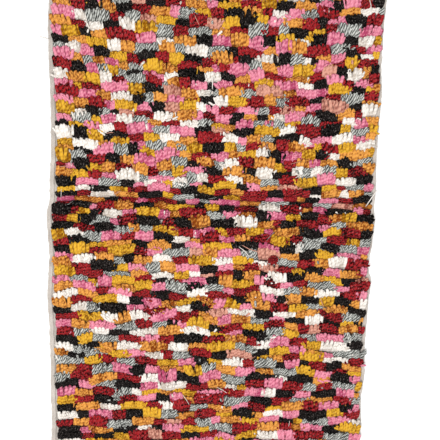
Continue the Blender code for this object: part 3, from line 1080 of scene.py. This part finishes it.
def make_field(material):
    """The ground between the selvedges, under the knots."""
    end, near, far = RUG_LENGTH / 2, CREASE_AT - HUMP_END, CREASE_AT + HUMP_END
    stations = np.concatenate(
        [
            np.arange(-end + FIELD_END, near, FIELD_STEP),
            np.linspace(near, far, FIELD_HUMP_STEPS),
            np.arange(far + FIELD_STEP, end - FIELD_END, FIELD_STEP),
            [end - FIELD_END],
        ]
    )
    upper, lower = [], []
    for y in stations:
        left, right = side_edges(y)
        xs = np.linspace(left + FIELD_INSET, right - FIELD_INSET, FIELD_COLUMNS)
        high = lift(y)
        upper.append([(x, y, high + GROUND_THICK - GROUND_CLEAR) for x in xs])
        lower.append([(x, y, high + FIELD_UNDERSIDE) for x in xs])
    return closed_cloth("woven_ground", np.array(upper), np.array(lower), material)


def make_web(name, end, material):
    """The flat web at an end of the rug, with its ribs: end is -1 at the near one and 1 at the far one."""
    upper, lower = [], []
    for from_edge in np.arange(0.0, END_WEB + WEB_UNDER_PILE, WEFT_APART / 2):
        line = end * (RUG_LENGTH / 2 - from_edge)
        left, right = side_edges(line)
        width = (right - WEB_INSET) - (left + WEB_INSET)
        edge = min(1.0, from_edge / WEB_EDGE)
        thick = (GROUND_THICK - GROUND_CLEAR) * (WEB_EDGE_HEIGHT + (1 - WEB_EDGE_HEIGHT) * edge)
        row_up, row_low = [], []
        for at in range(WEB_COLUMNS + 1):
            x = left + WEB_INSET + width * at / WEB_COLUMNS
            draw = end_draw((x - left) / (right - left)) * max(0.0, 1 - from_edge / END_WEB)
            y = line - end * draw
            ribs = cos(pi * x / WARP_APART) * cos(pi * from_edge / WEFT_APART)
            row_up.append((x, y, thick + WEB_RIB * ribs))
            row_low.append((x, y, WEB_EDGE_RISE * (1 - edge) + WEB_UNDERSIDE - WEB_RIB_UNDER * ribs))
        upper.append(row_up)
        lower.append(row_low)
    # Rows run from the near end to the far one
    upper, lower = np.array(upper)[::-end], np.array(lower)[::-end]
    return closed_cloth(name, upper, lower, material)


def make_selvedge(name, side, material):
    """A long edge of the rug: side is -1 for the left one and 1 for the right one."""
    end = RUG_LENGTH / 2
    rings = []
    for y in np.arange(-end + SELVEDGE_STEP, end - SELVEDGE_STEP, SELVEDGE_STEP):
        edge = side_edges(y)[side > 0]
        sway = SELVEDGE_SWAY * noise.noise(Vector((side * 5.0, y / SELVEDGE_SWAY_LENGTH, 0.0)))
        middle = edge - side * (SELVEDGE_HALF_WIDE + SELVEDGE_INSET) + sway
        close = min(1.0, (end - abs(y)) / SELVEDGE_CLOSE) ** 0.5
        ring = []
        for across, high in SELVEDGE_SECTION:
            roll = copysign(SELVEDGE_ROLLS_APART, across) if across else 0.0
            rib = sin(tau * y / SELVEDGE_RIB + roll + SELVEDGE_RIB_SLANT * across)
            lump = noise.noise(Vector((side * 5.0 + roll, y / SELVEDGE_LUMP_LENGTH, 2.0)))
            swell = 1 + SELVEDGE_RIB_SWELL * rib + SELVEDGE_LUMP * lump
            x = middle + side * across * SELVEDGE_HALF_WIDE * (1 + SELVEDGE_LUMP_WIDE * lump)
            up = max(high * SELVEDGE_HALF_HIGH * swell * close, -SELVEDGE_HALF_HIGH)
            ring.append((x, y, lift(y) + SELVEDGE_HALF_HIGH + up))
        rings.append(ring if side < 0 else ring[::-1])
    around, rows = len(SELVEDGE_SECTION), len(rings)
    corners, sizes = [], []
    for j in range(rows - 1):
        for k in range(around):
            here, beside = j * around + k, j * around + (k + 1) % around
            corners += [here, here + around, beside + around, beside]
            sizes.append(4)
    corners += list(range(around))
    corners += [(rows - 1) * around + k for k in range(around - 1, -1, -1)]
    sizes += [around, around]
    return make_piece(name, np.array(rings).reshape(-1, 3), corners, sizes, material)


def make_ground():
    wool = undyed_wool("undyed wool, weft-faced weave", *GROUND_COLOURS)
    return [
        dress(piece, "ground_weave")
        for piece in (
            make_field(wool),
            make_web("web_near", -1, wool),
            make_web("web_far", 1, wool),
            make_selvedge("selvedge_left", -1, wool),
            make_selvedge("selvedge_right", 1, wool),
        )
    ]


# Room


def make_floor():
    mesh = bpy.data.meshes.new("floor")
    corners = [(x * FLOOR_REACH, y * FLOOR_REACH, 0) for x, y in ((-1, -1), (1, -1), (1, 1), (-1, 1))]
    mesh.from_pydata(corners, [], [(0, 1, 2, 3)])
    mesh.materials.append(matt_paper("matt white paper board", "fbfbfa"))
    floor = bpy.data.objects.new("floor", mesh)
    bpy.context.scene.collection.objects.link(floor)


def make_light(name, place, size, power):
    """A round softbox that points at the middle of the rug."""
    data = bpy.data.lights.new(name, "AREA")
    data.shape = "DISK"
    data.size = size
    data.energy = power
    lamp = bpy.data.objects.new(name, data)
    lamp.location = place
    lamp.rotation_euler = (-Vector(place)).to_track_quat("-Z", "Y").to_euler()
    bpy.context.scene.collection.objects.link(lamp)


def make_room():
    make_floor()
    make_light("overhead softbox", place=(-0.6, -0.3, 2.7), size=1.4, power=72)
    make_light("side softbox", place=(1.6, 1.2, 2.2), size=2.2, power=24)
    world = bpy.data.worlds.new("pale studio")
    world.use_nodes = True
    world.node_tree.nodes["Background"].inputs["Color"].default_value = (1, 1, 1, 1)
    world.node_tree.nodes["Background"].inputs["Strength"].default_value = 0.42
    bpy.context.scene.world = world
    bpy.context.scene.view_settings.view_transform = "Standard"


def make_camera():
    data = bpy.data.cameras.new("camera")
    data.lens = data.sensor_width / 2 / VIEW_HALF
    camera = bpy.data.objects.new("camera", data)
    distance = VIEW_SPAN / 2 / VIEW_HALF
    camera.rotation_euler = (-VIEW_TILT, 0.0, VIEW_ROLL)
    camera.location = VIEW_CENTRE + camera.rotation_euler.to_matrix() @ Vector((0, 0, distance))
    bpy.context.scene.collection.objects.link(camera)
    bpy.context.scene.camera = camera


make_camera()
make_room()
ground = make_ground()
pile = make_pile()
